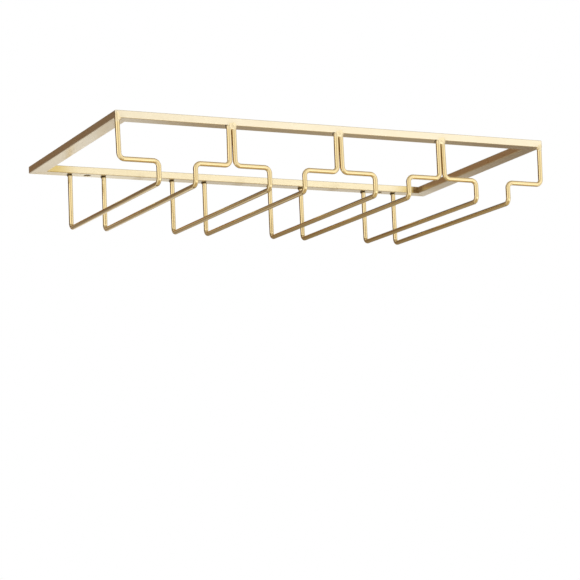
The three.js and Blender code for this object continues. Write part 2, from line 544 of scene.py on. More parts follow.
# Deeper, more saturated gold towards both ends of the rear bar's inner face.
DEEP_ENDS = Mark(Spot.REAR_ENDS, 34 * MM, 0.2, colour=(0.68, 0.52, 0.20))
# Painted shade: dark brown at the right end of the rear bar's inner face, by the corner.
RIGHT_CORNER_SHADE = Mark(Spot.REAR_RIGHT_END, 9 * MM, 0.5, colour=(0.20, 0.12, 0.045))

TUBE_ALONG_X = SatinGold(
    "satin gold tube, lines along X", *TUBE_COLOURS, 0.30, 0.10, 0.35, 0.22, Grain.ALONG_X,
    (SPATTER, PAIR_SIDE_SHADE),
)
TUBE_ALONG_Y = SatinGold(
    "satin gold tube, lines along Y", *TUBE_COLOURS, 0.30, 0.10, 0.30, 0.34, Grain.ALONG_Y
)
SHADED_REAR_TUBE = SatinGold(
    "satin gold tube at the rear", *REAR_SHADED_COLOURS, 0.30, 0.10, 0.35, 0.22, Grain.ALONG_X,
    (SPATTER, DEEP_ENDS, RIGHT_CORNER_SHADE),
)
WIRE_GOLD = SatinGold(
    "satin gold wire", *WIRE_COLOURS, 0.14, 0.07, 0.3, 0.1, marks=(HEAT_RING, STEM_GAP_SHADE, UPRIGHT_TOP_SHADE)
)
WELD_GOLD = SatinGold(
    "gold weld bead", *BEAD_COLOURS, 0.24, 0.12, 0.3, 0.2, marks=(UPRIGHT_TOP_SHADE,),
    peel_depth=0.006 * MM, peel_per_mm=1.6,
)


def polar(radius: float, angles: Array, centre: tuple[float, float] = (0.0, 0.0)) -> Array:
    """Points of an arc in a plane, one row for each angle."""
    return np.stack([centre[0] + radius * np.cos(angles), centre[1] + radius * np.sin(angles)], 1)


def rounded_section(width: float, height: float, radius: float, steps: int) -> Array:
    """Outline of a rectangle with rounded corners, centred on the origin.

    Args:
        width: Extent along the first coordinate.
        height: Extent along the second coordinate.
        radius: The corners' radius.
        steps: Steps in each corner.

    Returns:
        The outline's points, anticlockwise.
    """
    x, y = width / 2 - radius, height / 2 - radius
    quarter = np.linspace(0, QUARTER, steps + 1)
    centres = [(x, y), (-x, y), (-x, -y), (x, -y)]
    return np.concatenate([polar(radius, quarter + i * QUARTER, c) for i, c in enumerate(centres)])


def shade_smooth(mesh: bpy.types.Mesh, below: float = SMOOTH_BELOW) -> None:
    """Shades a mesh smooth where its edges turn less than an angle."""
    mesh.polygons.foreach_set("use_smooth", np.ones(len(mesh.polygons), bool))
    mesh.set_sharp_from_angle(angle=below)


class Skin:
    """Vertices and faces of one mesh while it is being made."""

    def __init__(self) -> None:
        """Starts an empty skin."""
        self.points: list[Array] = []
        self.faces: list[list[int]] = []
        self.count = 0

    def add_points(self, points: Array) -> Array:
        """Adds points.

        Args:
            points: An array whose last axis holds the three coordinates.

        Returns:
            The points' numbers, in the same layout.
        """
        flat = np.asarray(points, float).reshape(-1, 3)
        numbers = np.arange(self.count, self.count + len(flat)).reshape(points.shape[:-1])
        self.points.append(flat)
        self.count += len(flat)
        return numbers

    def add_faces(self, faces: Array) -> None:
        """Adds faces, one row of point numbers each."""
        self.faces.extend(np.asarray(faces).tolist())

    def join_rings(self, rings: Array, closed: bool = False) -> None:
        """Covers a run of rings with quads.

        Args:
            rings: Point numbers, one row for each ring.
            closed: Whether the first and the last ring get a face.
        """
        here, there = rings[:-1], rings[1:]
        quads = np.stack([here, np.roll(here, -1, 1), np.roll(there, -1, 1), there], 2)
        self.add_faces(quads.reshape(-1, 4))
        if closed:
            self.add_faces([rings[0][::-1], rings[-1]])

    def build(self, name: str, smooth_below: float = SMOOTH_BELOW) -> bpy.types.Object:
        """Makes the object.

        Args:
            name: The piece's name.
            smooth_below: Edges that turn less than this are shaded smooth.

        Returns:
            The object, linked to the scene.
        """
        mesh = bpy.data.meshes.new(name)
        mesh.from_pydata(np.concatenate(self.points).tolist(), [], self.faces)
        mesh.validate()
        shade_smooth(mesh, smooth_below)
        mesh.update()
        piece = bpy.data.objects.new(name, mesh)
        bpy.context.scene.collection.objects.link(piece)
        return piece


def dress(piece: bpy.types.Object, node: str, material: bpy.types.Material) -> None:
    """Gives a piece its finish and puts it in place of a node of the frame.

    Args:
        piece: The piece.
        node: The node that it stands for.
        material: The finish.
    """
    piece.data.materials.clear()
    piece.data.materials.append(material)
    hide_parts(node)
    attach(piece, BODY)
    log.info("%s: %d vertices, stands for %s", piece.name, len(piece.data.vertices), node)


@dataclass(frozen=True)
class Opening:
    """A hole through one wall of a tube, with its outer rim rounded over.

    The outline is a round entry, and a slot that leads from it along +X if it has a travel.
    """

    x: float
    y: float
    inner_z: float
    outer_z: float
    entry_radius: float
    slot_radius: float = 0.0
    travel: float = 0.0
    rim: float = 0.25 * MM
    rim_steps: int = 4
    round_steps: int = 48

    def outline(self, growth: float) -> Array:
        """The opening's outline.

        Args:
            growth: How far it is grown outwards.

        Returns:
            Its points, anticlockwise.
        """
        entry = self.entry_radius + growth
        if not self.travel:
            return polar(entry, np.linspace(0, 2 * math.pi, self.round_steps, endpoint=False))
        slot = self.slot_radius + growth
        mouth = math.asin(slot / entry)
        bulb = polar(entry, np.linspace(mouth, 2 * math.pi - mouth, self.round_steps))
        tip = polar(slot, np.linspace(-QUARTER, QUARTER, self.round_steps // 2), (self.travel, 0.0))
        return np.concatenate([bulb, tip])

    def cutter(self) -> bpy.types.Object:
        """Makes the body that cuts the opening.

        Returns:
            The cutter.
        """
        out = math.copysign(1.0, self.outer_z - self.inner_z)
        overrun = self.rim
        profile = [(0.0, self.inner_z - out * overrun)]
        for step in range(self.rim_steps + 1):
            turn = QUARTER * step / self.rim_steps
            growth = self.rim * (1 - math.cos(turn))
            profile.append((growth, self.outer_z - out * self.rim * (1 - math.sin(turn))))
        profile.append((self.rim, self.outer_z + out * overrun))
        rings = []
        for growth, z in profile:
            outline = self.outline(growth)
            rings.append(np.column_stack([outline + (self.x, self.y), np.full(len(outline), z)]))
        if out < 0:
            rings.reverse()
        skin = Skin()
        skin.join_rings(skin.add_points(np.array(rings)), closed=True)
        return skin.build("cutter")


@dataclass
class TubeBar:
    """One side of the frame: a mitred length of rectangular tube with its outer corner rounded."""

    place: Bar
    finish: SatinGold
    sizes: RackSizes
    openings: Sequence[Opening] = ()
    edge_steps: int = 8
    corner_steps: int = 6
    corner_spread: float = 0.25 * MM
    mitre_run: float = 4 * MM
    station_step: float = 30 * MM

    @property
    def length(self) -> float:
        """The bar's length over its mitres."""
        return self.sizes.depth if self.place.value % 2 else self.sizes.width

    @property
    def reach(self) -> float:
        """Distance of the bar's outer face from the frame's middle."""
        return (self.sizes.width if self.place.value % 2 else self.sizes.depth) / 2

    def build(self) -> None:
        """Makes the bar and dresses it."""
        sizes = self.sizes
        wide, high, walls = sizes.bar_width, sizes.bar_height, 2 * sizes.bar_wall
        skin = Skin()
        outer = rounded_section(wide, high, sizes.bar_edge, self.edge_steps)
        bore = rounded_section(wide - walls, high - walls, sizes.bore_edge, self.edge_steps)
        outside = skin.add_points(self._sweep(outer))
        inside = skin.add_points(self._sweep(bore))
        skin.join_rings(outside[:, ::-1])
        skin.join_rings(inside)
        skin.join_rings(np.stack([outside[0], inside[0]]))
        skin.join_rings(np.stack([inside[-1], outside[-1]]))
        bar = skin.build(f"{self.place.word}_tube")
        if self.openings:
            self._cut(bar)
        shading = bar.modifiers.new("even shading", "WEIGHTED_NORMAL")
        shading.keep_sharp = True
        dress(bar, f"{self.place.word}_bar", self.finish.build(sizes))

    def _sweep(self, section: Array) -> Array:
        """Places a section at every station along the bar.

        Args:
            section: The section's points, across and up from its middle.

        Returns:
            Points by station and place in the section, in the rack's frame.
        """
        sizes = self.sizes
        inward = section[:, 0] + sizes.bar_width / 2
        height = section[:, 1] - sizes.bar_height / 2
        shares = [step / self.corner_steps for step in range(self.corner_steps + 1)]
        corner = [self._corner_station(inward, share) for share in shares]
        straight = self.length / 2 - sizes.bar_width - self.mitre_run
        runs = np.linspace(-straight, straight, max(2, round(2 * straight / self.station_step)))
        stations = [(-along, deep) for along, deep in corner]
        stations += [(np.full_like(inward, run), inward) for run in runs]
        stations += corner[::-1]
        turn = QUARTER * self.place.value
        across, upward = math.cos(turn), math.sin(turn)
        rows = []
        for along, deep in stations:
            y = deep - self.reach
            rows.append(np.stack([across * along - upward * y, upward * along + across * y, height], 1))
        return np.array(rows)

    def _corner_station(self, inward: Array, share: float) -> tuple[Array, Array]:
        """Places the section at one station of the rounded corner.

        Args:
            inward: Each point's distance from the outer face.
            share: The station's share of the way from the mitre, which spreads the inner part.

        Returns:
            Place along the bar and distance from the outer face, for each point.
        """
        radius = self.sizes.corner
        half = self.length / 2
        angle = QUARTER / 2 * (1 - share)
        arm = np.clip(radius - inward, 0, None)
        spread = self.corner_spread * share * np.clip(inward / radius, 0, 1)
        past = inward >= radius
        along = np.where(past, half - inward, half - radius + arm * math.sin(angle)) - spread
        return along, np.where(past, inward, radius - arm * math.cos(angle))

    def _cut(self, bar: bpy.types.Object) -> None:
        """Cuts the openings into the bar.

        Args:
            bar: The bar to cut.
        """
        cutters = [opening.cutter() for opening in self.openings]
        for cutter in cutters:
            cut = bar.modifiers.new("cut", "BOOLEAN")
            cut.operation = "DIFFERENCE"
            cut.solver = "EXACT"
            cut.object = cutter
        bpy.context.view_layer.update()
        shaped = bar.evaluated_get(bpy.context.evaluated_depsgraph_get())
        mesh = bpy.data.meshes.new_from_object(shaped)
        bar.modifiers.clear()
        bar.data = mesh
        for cutter in cutters:
            bpy.data.objects.remove(cutter)
        shade_smooth(mesh)


@dataclass
class TubeFrame:
    """The flat frame: four mitred bars, with screw holes at the rear and keyholes in front."""

    sizes: RackSizes
    head_radius: float = 3.5 * MM
    shank_radius: float = 2.25 * MM
    keyhole_entry: float = 4.25 * MM
    keyhole_slot: float = 2.25 * MM
    keyhole_travel: float = 9 * MM

    def build(self) -> None:
        """Makes the four bars, with openings in the middle of the first and the last lane."""
        sizes = self.sizes
        places = (sizes.lane_x(0), sizes.lane_x(sizes.lanes - 1))
        keyholes = [self._keyhole(x) for x in places]
        screw_holes = [hole for x in places for hole in self._screw_holes(x)]
        TubeBar(Bar.FRONT, TUBE_ALONG_X, sizes, keyholes).build()
        TubeBar(Bar.RIGHT, TUBE_ALONG_Y, sizes).build()
        TubeBar(Bar.REAR, SHADED_REAR_TUBE, sizes, screw_holes).build()
        TubeBar(Bar.LEFT, TUBE_ALONG_Y, sizes).build()

    def _screw_holes(self, x: float) -> list[Opening]:
        """The wide hole below and the narrow one above for a screw through the rear bar.

        Args:
            x: The screw's place along the bar.

        Returns:
            The two openings.
        """
        y = self.sizes.rear_y - self.sizes.bar_width / 2
        low, wall = self.sizes.underside, self.sizes.bar_wall
        head = Opening(x, y, low + wall, low, self.head_radius)
        shank = Opening(x, y, -wall, 0.0, self.shank_radius)
        return [head, shank]

    def _keyhole(self, x: float) -> Opening:
        """The keyhole in the front bar's top wall, with its entry at the given place."""
        y, wall = self.sizes.front_y + self.sizes.bar_width / 2, self.sizes.bar_wall
        return Opening(x, y, -wall, 0.0, self.keyhole_entry, self.keyhole_slot, self.keyhole_travel)


@dataclass
class RailWire:
    """One bent wire: stem, step, drop, rail and rear upright, with its cut ends rounded over."""

    plan: WirePlan
    material: bpy.types.Material
    sides: int = 36
    bend_steps: int = 18
    run_step: float = 8 * MM
    end_round: float = 1.2 * MM
    end_steps: int = 8

    def build(self) -> None:
        """Makes the wire and dresses it."""
        skin = Skin()
        skin.join_rings(skin.add_points(self._rings(*self._path())), closed=True)
        wire = skin.build(f"lane_{self.plan.word}_wire")
        dress(wire, f"lane_{self.plan.word}_rail", self.material)

    def _path(self) -> tuple[Array, Array]:
        """Follows the wire's route with one radius at every corner.

        Returns:
            Centre and direction of every ring.
        """
        corners, radius = self.plan.corners(), self.plan.sizes.bend_radius
        down = Vector((0.0, 0.0, -1.0))
        lean = corners[1] - corners[0]
        path = [(centre, down) for centre in self._end(corners[0], lean / -lean.z)]
        for before, corner, after in zip(corners, corners[1:], corners[2:]):
            arriving = (corner - before).normalized()
            leaving = (after - corner).normalized()
            angle = arriving.angle(leaving)
            axis = arriving.cross(leaving).normalized()
            start = corner - arriving * radius * math.tan(angle / 2)
            middle = start + axis.cross(arriving) * radius
            self._run(path, start, arriving)
            for step in range(1, self.bend_steps + 1):
                turned = Matrix.Rotation(angle * step / self.bend_steps, 3, axis)
                path.append((middle + turned @ (start - middle), turned @ arriving))
        ending = self._end(corners[-1], down)[::-1]
        self._run(path, ending[0], -down)
        path += [(centre, -down) for centre in ending[1:]]
        centres, tangents = (np.array([tuple(vector) for vector in column]) for column in zip(*path))
        return centres, tangents

    def _end(self, tip: Vector, inward: Vector) -> list[Vector]:
        """Centres of the rings that round over a cut end, from its face inwards."""
        turns = [QUARTER * step / self.end_steps for step in range(self.end_steps + 1)]
        return [tip + inward * self.end_round * (1 - math.cos(turn)) for turn in turns]

    def _run(self, path: list[tuple[Vector, Vector]], end: Vector, direction: Vector) -> None:
        """Adds the rings of a straight run.

        Args:
            path: Centres and directions so far, which end at the run's start.
            end: The run's end.
            direction: The run's direction.
        """
        start = path[-1][0].copy()
        steps = max(1, round((end - start).length / self.run_step))
        for step in range(1, steps + 1):
            path.append((start.lerp(end, step / steps), direction))

    def _rings(self, centres: Array, tangents: Array) -> Array:
        """Places a circle at every ring, turned as little as possible from one to the next.

        Args:
            centres: The rings' centres.
            tangents: Their directions.

        Returns:
            Points by ring and place in the ring.
        """
        radii = np.full(len(centres), self.plan.sizes.wire_radius)
        turns = np.linspace(0, QUARTER, self.end_steps + 1)
        ends = self.plan.sizes.wire_radius - self.end_round * (1 - np.sin(turns))
        radii[: len(ends)] = ends
        radii[-len(ends):] = ends[::-1]
        angles = np.linspace(0, 2 * math.pi, self.sides, endpoint=False)
        normal = np.array((1.0, 0.0, 0.0))
        rows = []
        for centre, tangent, radius in zip(centres, tangents, radii):
            normal = normal - tangent * (normal @ tangent)
            normal /= np.linalg.norm(normal)
            binormal = np.cross(tangent, normal)
            spokes = np.outer(np.cos(angles), normal) + np.outer(np.sin(angles), binormal)
            rows.append(centre + radius * spokes)
        return np.array(rows)


def box_distance(beyond: Array) -> Array:
    """Distance to a box, from how far each point lies beyond its sides."""
    return np.linalg.norm(np.clip(beyond, 0, None), axis=1) + np.minimum(beyond.max(1), 0)


def soft_join(first: Array, second: Array, size: Union[float, Array]) -> Array:
    """Joins the distances to two solids with a fillet of a size that may differ between points."""
    overlap = np.clip(size - np.abs(first - second), 0, None) / size
    return np.minimum(first, second) - overlap**2 * size / 4


@dataclass(frozen=True)
class FrameBlock:
    """The outside of the whole frame as a solid block with rounded edges."""

    sizes: RackSizes

    def distance(self, points: Array) -> Array:
        """Distance of each point from the block.

        Args:
            points: One row of coordinates for each point.

        Returns:
            The distances, negative inside.
        """
        sizes = self.sizes
        half = np.array((sizes.width / 2, sizes.depth / 2)) - sizes.corner
        plan = box_distance(np.abs(points[:, :2]) - half) - sizes.corner
        level = np.abs(points[:, 2] - sizes.underside / 2) - sizes.bar_height / 2
        return box_distance(np.stack([plan, level], 1) + sizes.bar_edge) - sizes.bar_edge


@dataclass(frozen=True)
class Capsule:
    """A round bar with round ends."""

    start: Vector
    end: Vector
    radius: float

    def distance(self, points: Array) -> Array:
        """Distance of each point from the bar.

        Args:
            points: One row of coordinates for each point.

        Returns:
            The distances, negative inside.
        """
        first = np.array(self.start)
        line = np.array(self.end) - first
        away = points - first
        share = np.clip(away @ line / (line @ line), 0, 1)
        return np.linalg.norm(away - share[:, None] * line, axis=1) - self.radius


class Ripple:
    """Small smooth unevenness, the same on every run."""

    stretch_range = (0.6, 1.7)

    def __init__(self, depth: float, wavelength: float, seed: int, waves: int = 9) -> None:
        """Draws the waves.

        Args:
            depth: Height of the ripple.
            wavelength: Distance between its crests.
            seed: Start of the random draws.
            waves: How many waves are summed.
        """
        draws = np.random.default_rng(seed)
        directions = draws.normal(size=(waves, 3))
        directions /= np.linalg.norm(directions, axis=1)[:, None]
        stretch = draws.uniform(*self.stretch_range, waves)
        self.waves = directions * (2 * math.pi * stretch / wavelength)[:, None]
        self.phases = draws.uniform(0, 2 * math.pi, waves)
        self.depth = depth * math.sqrt(2 / waves)

    def at(self, points: Array) -> Array:
        """The ripple's height at each point."""
        return self.depth * np.sin(points @ self.waves.T + self.phases).sum(1)


@dataclass(frozen=True)
class Lump:
    """A rounded lump of weld metal with an uneven surface."""

    middle: Array
    radii: Array
    ripple: Ripple

    def distance(self, points: Array) -> Array:
        """Distance of each point from the lump, nearly true close to its surface.

        Args:
            points: One row of coordinates for each point.

        Returns:
            The distances, negative inside.
        """
        tiny = 1e-9
        away = points - self.middle
        near = np.linalg.norm(away / self.radii, axis=1)
        slope = np.linalg.norm(away / self.radii**2, axis=1) + tiny
        return near * (near - 1) / slope + self.ripple.at(points)


class SurfaceNet:
    """Turns a distance into a closed mesh."""

    settle_rounds = 2
    probe_share = 1 / 20
    least_slope = 0.25

    def __init__(self, distance: Distance, middle: Array, reach: Array, step: float) -> None:
        """Samples the distance on a grid.

        Args:
            distance: The distance, negative inside.
            middle: The grid's middle.
            reach: Its half sizes.
            step: The grid's step.
        """
        self.distance = distance
        self.step = step
        self.low = middle - reach
        counts = np.ceil((middle + reach - self.low) / step).astype(int) + 1
        axes = [start + step * np.arange(count) for start, count in zip(self.low, counts)]
        grid = np.stack(np.meshgrid(*axes, indexing="ij"), -1)
        self.values = distance(grid.reshape(-1, 3)).reshape(grid.shape[:3])
        for axis in range(3):
            rim = np.moveaxis(self.values, axis, 0)
            rim[[0, -1]] = np.maximum(rim[[0, -1]], step)

    def build(self, name: str) -> bpy.types.Object:
        """Makes the mesh.

        Args:
            name: The piece's name.

        Returns:
            The object.
        """
        points, numbers = self._cell_points()
        skin = Skin()
        skin.add_points(self._settle(points))
        for axis in range(3):
            skin.add_faces(self._quads(axis, numbers))
        return skin.build(name, BEAD_SMOOTH_BELOW)

    def _cell_points(self) -> tuple[Array, Array]:
        """Puts one point in every cell that the surface passes through.

        Returns:
            The points, and each cell's point number, or -1.
        """
        shape = tuple(count - 1 for count in self.values.shape)
        total = np.zeros((*shape, 3))
        count = np.zeros(shape)
        corners = itertools.product((0, 1), repeat=3)
        for first, along in itertools.product(corners, np.eye(3, dtype=int)[::-1]):
            second = first + along
            if second.max() > 1:
                continue
            start, end = (self._corner_values(corner, shape) for corner in (first, second))
            crossed = (start < 0) != (end < 0)
            share = np.where(crossed, start / np.where(crossed, start - end, 1.0), 0.0)
            total += crossed[..., None] * (first + share[..., None] * along)
            count += crossed
        used = count > 0
        numbers = np.full(shape, -1)
        numbers[used] = np.arange(used.sum())
        inside = total[used] / count[used][:, None]
        return self.low + (np.argwhere(used) + inside) * self.step, numbers

    def _corner_values(self, corner: Sequence[int], shape: tuple[int, ...]) -> Array:
        """The distance at one corner of every cell."""
        return self.values[tuple(slice(start, start + size) for start, size in zip(corner, shape))]

    def _quads(self, axis: int, numbers: Array) -> Array:
        """Faces across the grid lines of one axis.

        Args:
            axis: The axis.
            numbers: Each cell's point number.

        Returns:
            The faces.
        """
        order = (axis, (axis + 1) % 3, (axis + 2) % 3)
        inside = np.moveaxis(self.values < 0, order, (0, 1, 2))
        cells = np.moveaxis(numbers, order, (0, 1, 2))
        i, j, k = np.nonzero(inside[:-1, 1:-1, 1:-1] != inside[1:, 1:-1, 1:-1])
        ring = [(j, k), (j + 1, k), (j + 1, k + 1), (j, k + 1)]
        faces = np.stack([cells[i, across, up] for across, up in ring], 1)
        leaving = inside[i, j + 1, k + 1]
        return np.where(leaving[:, None], faces, faces[:, ::-1])

    def _settle(self, points: Array) -> Array:
        """Moves points onto the surface itself.

        Args:
            points: The points.

        Returns:
            The moved points.
        """
        near = self.step * self.probe_share
        for _ in range(self.settle_rounds):
            here = self.distance(points)
            slope = np.zeros_like(points)
            for axis, shift in enumerate(near * np.eye(3)):
                rise = self.distance(points + shift) - self.distance(points - shift)
                slope[:, axis] = rise / (2 * near)
            size = (slope**2).sum(1)
            move = np.clip(here / np.maximum(size, self.least_slope), -self.step / 2, self.step / 2)
            points = points - move[:, None] * slope
        return points


@dataclass(frozen=True)
class BeadShape:
    """A kind of bead, in millimetres from its own zero point.

    The dabs are pairs of place and half sizes. The bead stays within its reach of its middle.
    """

    dabs: tuple[tuple[Triple, Triple], ...]
    middle: Triple
    reach: Triple
    flow: float = 1.3
    spread: float = 3.4
    ripple: float = 0.03


PAIR_BEAD = BeadShape(
    (
        ((1.0, 1.05, 0.1), (3.2, 1.25, 2.7)),
        ((0.2, 1.4, -1.8), (1.9, 1.4, 1.9)),
        ((-1.9, 1.5, -1.1), (2.0, 1.5, 1.9)),
        ((2.9, 1.6, -0.7), (2.1, 1.6, 1.9)),
    ),
    (0.0, 1.2, -0.4), (6.2, 3.8, 5.6),
)
FIRST_BEAD = BeadShape(
    (
        ((-0.4, 1.0, 1.6), (1.4, 1.2, 4.7)),
        ((1.3, 1.4, -0.4), (2.0, 1.4, 1.6)),
        ((-0.7, 1.5, -0.6), (1.4, 1.5, 1.6)),
    ),
    (0.6, 1.2, 0.6), (4.6, 3.8, 6.6),
)
LAST_BEAD = BeadShape(
    (((-0.4, 1.35, 0.4), (2.1, 1.75, 3.0)), ((-1.7, 1.7, -0.6), (1.7, 1.5, 1.5))),
    (-0.6, 1.2, 0.6), (4.6, 3.8, 6.6),
)
REAR_BEAD = BeadShape(
    (((-0.7, 1.5, -0.5), (1.9, 1.4, 1.5)), ((0.8, 1.3, -0.4), (1.8, 1.4, 1.3))),
    (0.0, 0.6, 0.0), (4.0, 3.6, 3.4), flow=1.1, spread=2.6, ripple=0.06,
)


@dataclass
class WeldBead:
    """One weld: dabs of metal that flow into the wires and the frame round them.

    A swollen bead also runs down its wires in a thin layer.
    """

    row: str
    word: str
    shape: BeadShape
    zero: Triple
    stems: list[tuple[Vector, Vector]]
    seed: int
    sizes: RackSizes
    material: bpy.types.Material
    swollen: bool = True
    swell_height: float = 0.14 * MM
    swell_drop: float = 0.4 * MM
    swell_length: float = 6 * MM
    crevice: float = 0.12 * MM
    ripple_length: float = 2.4 * MM
    sink: float = 0.03 * MM
    ground: float = 0.01 * MM
    ground_round: float = 0.25 * MM
    fill_share: float = 0.97
    step: float = 0.16 * MM

    def build(self) -> None:
        """Makes the bead and dresses it."""
        middle = self.zero + np.array(self.shape.middle) * MM
        reach = np.array(self.shape.reach) * MM
        net = SurfaceNet(self._distance(middle, reach), middle, reach, self.step)
        bead = net.build(f"{self.row}_bead_{self.word}")
        dress(bead, f"{self.row}_weld_{self.word}", self.material)

    def _lumps(self) -> list[Lump]:
        """The bead's dabs, and the thin layer of metal that runs down each front stem.

        Returns:
            The lumps, each with a ripple of its own.
        """
        dabs = [(np.array(place) * MM, np.array(radii) * MM) for place, radii in self.shape.dabs]
        places = [(self.zero + place, radii) for place, radii in dabs]
        if self.swollen:
            thick = self.sizes.wire_radius + self.swell_height
            height = self.sizes.underside - self.swell_drop
            for top, _ in self.stems:
                layer = np.array((thick, thick, self.swell_length))
                places.append((np.array((top.x, top.y, height)), layer))
        ripple = self.shape.ripple * MM, self.ripple_length
        return [Lump(*place, Ripple(*ripple, 10 * self.seed + i)) for i, place in enumerate(places)]

    def _distance(self, middle: Array, reach: Array) -> Distance:
        """Joins the distances to wires, lumps and frame, softly near the weld's heart.

        Args:
            middle: The bead's middle.
            reach: Its half sizes.

        Returns:
            The weld's distance.
        """
        block = FrameBlock(self.sizes)
        wires = [Capsule(*stem, self.sizes.wire_radius) for stem in self.stems]
        lumps = self._lumps()
        flow, spread = self.shape.flow * MM, self.shape.spread * MM

        def distance(points: Array) -> Array:
            """Distance of each point from the weld.

            Args:
                points: One row of coordinates for each point.

            Returns:
                The distances, negative inside.
            """
            near = np.exp(-(((points - lumps[0].middle) / spread) ** 2).sum(1))
            size = self.crevice + (flow - self.crevice) * near
            metal = lumps[0].distance(points)
            for lump in lumps[1:]:
                metal = soft_join(metal, lump.distance(points), flow / 2)
            joined = soft_join(np.minimum.reduce([wire.distance(points) for wire in wires]), metal, size)
            joined = soft_join(joined, block.distance(points), size)
            inside = self.sizes.width / 2 - self.ground - np.abs(points[:, 0])
            joined = -soft_join(-joined, inside, self.ground_round)
            bounds = (np.linalg.norm((points - middle) / reach, axis=1) - self.fill_share) * reach.min()
            return np.maximum(joined + self.sink, bounds)

        return distance


@dataclass
class Welds:
    """The beads along the front and the rear bar."""

    sizes: RackSizes
    material: bpy.types.Material
    stem_length: float = 9 * MM
    stem_below: float = 1.6 * MM
    first_rear_seed: int = 20

    def build(self) -> None:
        """Makes all the beads, from left to right along the front and then the rear."""
        sizes, last = self.sizes, self.sizes.lanes - 1
        wires = [WirePlan(sizes, lane, side) for lane in range(sizes.lanes) for side in Side]
        self._front_bead(1, FIRST_BEAD, wires[0].stem_x, wires[:1])
        for lane in range(last):
            x = sizes.lane_x(lane) + sizes.lane_pitch / 2
            self._front_bead(lane + 2, PAIR_BEAD, x, wires[2 * lane + 1:2 * lane + 3])
        self._front_bead(last + 2, LAST_BEAD, wires[-1].stem_x, wires[-1:])
        for number, wire in enumerate(wires):
            self._rear_bead(wire, self.first_rear_seed + number)

    def _front_bead(self, number: int, shape: BeadShape, x: float, wires: Sequence[WirePlan]) -> None:
        """Makes a bead on one stem or two. Each stem is a line that ends a little below the frame.

        Args:
            number: The bead's number, which is also the start of its random draws.
            shape: Its shape.
            x: Its place along the bar.
            wires: Its wires.
        """
        stems = []
        for wire in wires:
            top, low = wire.corners()[:2]
            down = (low - top).normalized()
            stems.append((top + down * self.stem_below, top + down * self.stem_length))
        zero = (x, self.sizes.front_y, self.sizes.underside)
        WeldBead("front", str(number), shape, zero, stems, number, self.sizes, self.material).build()

    def _rear_bead(self, wire: WirePlan, seed: int) -> None:
        """Makes the bead behind and beside a rear upright.

        Args:
            wire: The upright's wire.
            seed: Start of its random draws.
        """
        sizes = self.sizes
        x, y, under = wire.rail_x, sizes.rear_wire_y, sizes.underside
        top = Vector((x, y, under - self.stem_below))
        stems = [(top, top - Vector((0.0, 0.0, self.stem_length)))]
        zero = (x, y, under)
        bead = WeldBead("rear", wire.word, REAR_BEAD, zero, stems, seed, sizes, self.material, False)
        bead.build()


def toward(azimuth: float, elevation: float) -> Vector:
    """The direction at two angles in degrees: azimuth 0 is behind the rack, and 90 at its right.

    Args:
        azimuth: The angle round the rack.
        elevation: The angle above the level plane.

    Returns:
        The direction, of length 1.
    """
    around, above = math.radians(azimuth), math.radians(elevation)
    flat = math.cos(above)
    return Vector((math.sin(around) * flat, math.cos(around) * flat, math.sin(above)))


@dataclass(frozen=True)
class PhotoCamera:
    """The photograph's camera, found from the rack's corners and wires."""

    place: Triple = (-867.0 * MM, -1777.4 * MM, -451.9 * MM)
    yaw: float = 26.005
    pitch: float = 9.219
    roll: float = -2.464
    focal_px: float = 2137.0
    image_px: float = 580.0
    sensor: float = 36.0
    far_limit: float = 100.0

    def build(self) -> None:
        """Makes the camera and looks through it."""
        roll = math.radians(self.roll)
        ahead = toward(self.yaw, self.pitch)
        level = toward(self.yaw + 90, 0.0)
        right = level * math.cos(roll) + level.cross(ahead) * math.sin(roll)
        up = right.cross(ahead)
        camera = bpy.data.cameras.new("photo camera")
        camera.sensor_width = self.sensor
        camera.lens = self.focal_px / self.image_px * self.sensor
        camera.clip_end = self.far_limit
        holder = bpy.data.objects.new("photo camera", camera)
        turned = Matrix((right, up, -ahead)).transposed().to_4x4()
        holder.matrix_world = Matrix.Translation(self.place) @ turned
        bpy.context.scene.collection.objects.link(holder)
        bpy.context.scene.camera = holder
        log.info("camera: %.1f mm lens", camera.lens)


@dataclass(frozen=True)
class SoftLamp:
    """A square soft lamp that points at the rack. Its azimuth is 0 behind it and 90 at its right."""

    name: str
    azimuth: float
    elevation: float
    distance: float
    size: float
    power: float

    def build(self) -> None:
        """Hangs the lamp."""
        out = toward(self.azimuth, self.elevation)
        lamp = bpy.data.lights.new(self.name, "AREA")
        lamp.shape = "SQUARE"
        lamp.size = self.size
        lamp.energy = self.power
        holder = bpy.data.objects.new(self.name, lamp)
        holder.location = out * self.distance
        holder.rotation_mode = "QUATERNION"
        holder.rotation_quaternion = (-out).to_track_quat("-Z", "Y")
        holder.visible_camera = False
        bpy.context.scene.collection.objects.link(holder)


def upright(plan: Sequence[Sequence[float]], bottom: float, top: float) -> Array:
    """The lower and the upper line of an upright card, from its line in plan and its heights."""
    return np.array([np.column_stack([plan, np.full(len(plan), z)]) for z in (bottom, top)])


def plan_arc(radius: float, start: float, end: float, steps: int = 48) -> Array:
    """A line in plan round the rack, from angles in degrees: 0 is behind it, 90 at its right."""
    angles = np.radians(np.linspace(start, end, steps + 1))
    return np.stack([radius * np.sin(angles), radius * np.cos(angles)], 1)


def plan_line(left: float, right: float, y: float) -> Array:
    """A straight line in plan, across the rack."""
    return np.array([(left, y), (right, y)])


def lying(left: float, right: float, near: float, far: float, z: float) -> Array:
    """The near and the far line of a level card."""
    return np.array([[(left, y, z), (right, y, z)] for y in (near, far)])


